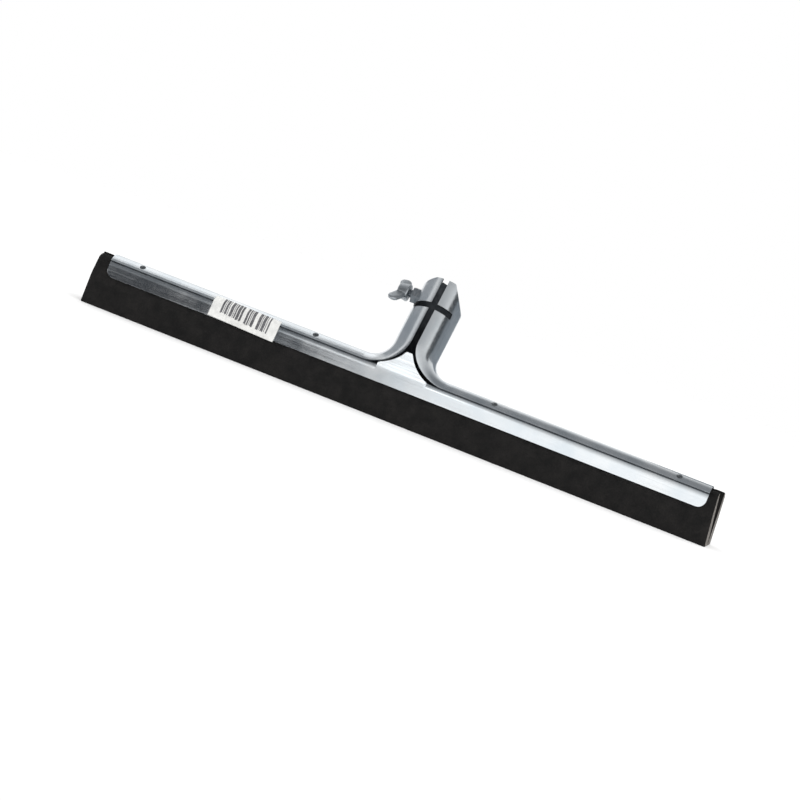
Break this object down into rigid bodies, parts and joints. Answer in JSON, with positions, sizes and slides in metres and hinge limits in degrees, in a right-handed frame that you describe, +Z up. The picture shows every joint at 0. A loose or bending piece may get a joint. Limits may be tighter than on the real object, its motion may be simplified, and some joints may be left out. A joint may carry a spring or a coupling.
{
  "type": "floor squeegee head",
  "caption": "Floor squeegee head: a bright sheet-steel frame pinching double black cellular rubber blades, with a flared, split clamp socket and wing screw for a handle.",
  "frame": {"origin": "on the floor, under the middle of the blades, at the line where the two blades meet", "axes": "+X along the blades, -Y to the front with the plate and label, +Z up"},
  "size_m": [0.45, 0.0669, 0.0986],
  "materials": {
    "zinc_sheet": "bright zinc-plated sheet steel, smooth, fine handling scratches",
    "rivet_steel": "dull plated steel",
    "cellular_rubber": "black closed-cell rubber foam, matte, cut faces",
    "screw_steel": "plated steel",
    "cast_zinc": "die-cast zinc, satin",
    "label_paper": "white paper sticker with plain grey bars"
  },
  "bodies": {
    "head": {"frame_pressing": "zinc_sheet", "front_plate": "zinc_sheet", "plate_rivets": "rivet_steel", "front_blade": "cellular_rubber", "rear_blade": "cellular_rubber", "weld_nut": "screw_steel", "paper_label": "label_paper"},
    "stud": {"screw_shank": "screw_steel"},
    "wing": {"wing_head": "cast_zinc"}
  },
  "joints": [
    {"name": "screw_feed", "type": "slide", "parent": "head", "child": "stud", "axis": [1, 0, 0], "range_m": [-0.002, 0.002]},
    {"name": "wing_turn", "type": "hinge", "parent": "stud", "child": "wing", "pos_m": [0, 0.02925, 0.08066], "axis": [1, 0, 0], "range_deg": [-730, 730]}
  ],
  "couplings": [
    {"joint": "wing_turn", "follows": "screw_feed", "rad_per_m": 6283.2}
  ]
}
